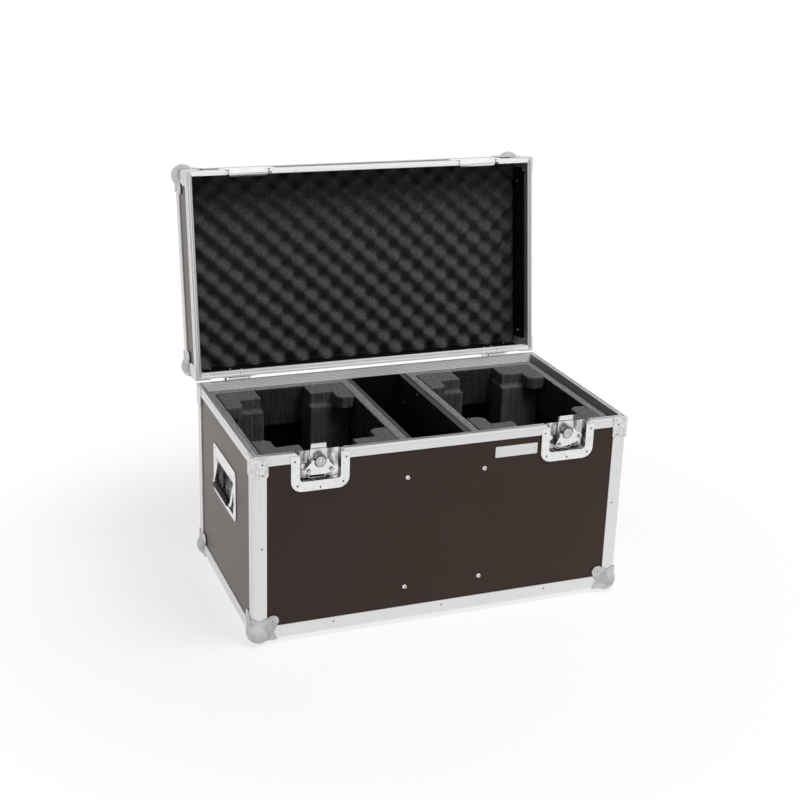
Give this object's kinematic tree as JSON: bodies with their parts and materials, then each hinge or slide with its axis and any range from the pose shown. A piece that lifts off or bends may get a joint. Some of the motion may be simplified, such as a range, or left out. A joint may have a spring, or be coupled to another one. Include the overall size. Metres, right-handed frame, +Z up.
{
  "type": "flight case",
  "caption": "Edged plywood flight case with a hinged lid, two recessed butterfly latches, sprung handles, ball corners, two foam-blocked bays and a narrow centre bay.",
  "frame": {"origin": "centre of the bottom board's underside", "axes": "+Z up, +X to the right seen from the latches, +Y to the hinges"},
  "size_m": [0.74, 0.5792, 0.7634],
  "materials": {
    "laminated_board": "satin brown laminate on plywood",
    "inner_board": "black laminate on plywood",
    "aluminium_edge": "satin, finely ribbed extrusion",
    "plated_steel": "zinc or nickel plated, pressed",
    "foam": "open-cell foam",
    "handle_grip": "matte black sleeve"
  },
  "bodies": {
    "base": {"base_front_panel": "laminated_board", "base_back_panel": "laminated_board", "base_left_panel": "laminated_board", "base_right_panel": "laminated_board", "base_bottom_panel": "laminated_board", "base_bottom_frame": "aluminium_edge", "base_closing_profile": "aluminium_edge", "base_closing_profile_front": "aluminium_edge", "divider_left": "inner_board", "divider_right": "inner_board", "bay_lining_left": "foam", "bay_lining_right": "foam", "latch_dish_left": "plated_steel", "latch_dish_right": "plated_steel", "handle_dish_left": "plated_steel", "handle_dish_right": "plated_steel", "hinge_base_leaf_left": "plated_steel", "hinge_base_leaf_right": "plated_steel", "nameplate": "aluminium_edge", "base_post_front_left": "aluminium_edge", "base_post_front_right": "aluminium_edge", "base_post_back_right": "aluminium_edge", "base_post_back_left": "aluminium_edge", "base_ball_corner_front_left": "plated_steel", "base_ball_corner_front_right": "plated_steel", "base_ball_corner_back_right": "plated_steel", "base_ball_corner_back_left": "plated_steel", "foam_block_left_front_left": "foam", "foam_block_left_front_right": "foam", "foam_block_left_back_left": "foam", "foam_block_left_back_right": "foam", "foam_block_right_front_left": "foam", "foam_block_right_front_right": "foam", "foam_block_right_back_left": "foam", "foam_block_right_back_right": "foam"},
    "lid": {"lid_top_panel": "laminated_board", "lid_front_panel": "laminated_board", "lid_back_panel": "laminated_board", "lid_left_panel": "laminated_board", "lid_right_panel": "laminated_board", "lid_edge_frame": "aluminium_edge", "lid_closing_profile": "aluminium_edge", "lid_closing_profile_front": "aluminium_edge", "latch_catch_left": "plated_steel", "latch_catch_right": "plated_steel", "hinge_lid_leaf_left": "plated_steel", "hinge_lid_leaf_right": "plated_steel", "egg_crate_foam": "foam", "lid_ball_corner_front_left": "plated_steel", "lid_ball_corner_front_right": "plated_steel", "lid_ball_corner_back_right": "plated_steel", "lid_ball_corner_back_left": "plated_steel"},
    "latch_hub_left": {"latch_hub_left": "plated_steel"},
    "latch_wing_left": {"latch_wing_left": "plated_steel"},
    "latch_hook_left": {"latch_hook_left": "plated_steel"},
    "handle_left": {"handle_grip_left": "handle_grip"},
    "latch_hub_right": {"latch_hub_right": "plated_steel"},
    "latch_wing_right": {"latch_wing_right": "plated_steel"},
    "latch_hook_right": {"latch_hook_right": "plated_steel"},
    "handle_right": {"handle_grip_right": "handle_grip"}
  },
  "joints": [
    {"name": "lid_hinge", "type": "hinge", "parent": "base", "child": "lid", "pos_m": [0, 0.2036, 0.35065], "axis": [1, 0, 0], "range_deg": [0, 98]},
    {"name": "latch_turn_left", "type": "hinge", "parent": "base", "child": "latch_hub_left", "pos_m": [-0.239, -0.2, 0.33], "axis": [0, -1, 0], "range_deg": [0, 180]},
    {"name": "latch_wing_fold_left", "type": "hinge", "parent": "latch_hub_left", "child": "latch_wing_left", "pos_m": [-0.239, -0.1978, 0.33], "axis": [-1, 0, 0], "range_deg": [0, 180]},
    {"name": "latch_hook_slide_left", "type": "slide", "parent": "base", "child": "latch_hook_left", "axis": [0, -0.6139, -0.7894], "range_m": [0, 0.0057]},
    {"name": "handle_lift_left", "type": "hinge", "parent": "base", "child": "handle_left", "pos_m": [-0.357, -0.0025, 0.243], "axis": [0, 1, 0], "range_deg": [0, 90], "stiffness_Nm_per_rad": 0.35, "springref_deg": -22.92},
    {"name": "latch_turn_right", "type": "hinge", "parent": "base", "child": "latch_hub_right", "pos_m": [0.239, -0.2, 0.33], "axis": [0, -1, 0], "range_deg": [-17, 163]},
    {"name": "latch_wing_fold_right", "type": "hinge", "parent": "latch_hub_right", "child": "latch_wing_right", "pos_m": [0.239, -0.1978, 0.33], "axis": [-0.9563, 0, -0.2924], "range_deg": [0, 180]},
    {"name": "latch_hook_slide_right", "type": "slide", "parent": "base", "child": "latch_hook_right", "axis": [0, -0.6139, -0.7894], "range_m": [-0.00054, 0.00516]},
    {"name": "handle_lift_right", "type": "hinge", "parent": "base", "child": "handle_right", "pos_m": [0.357, -0.0025, 0.243], "axis": [0, -1, 0], "range_deg": [0, 90], "stiffness_Nm_per_rad": 0.35, "springref_deg": -22.92}
  ],
  "couplings": [
    {"joint": "latch_hook_slide_left", "follows": "latch_turn_left", "m_per_rad": 0.0018146},
    {"joint": "latch_hook_slide_right", "follows": "latch_turn_right", "m_per_rad": 0.0018146}
  ]
}
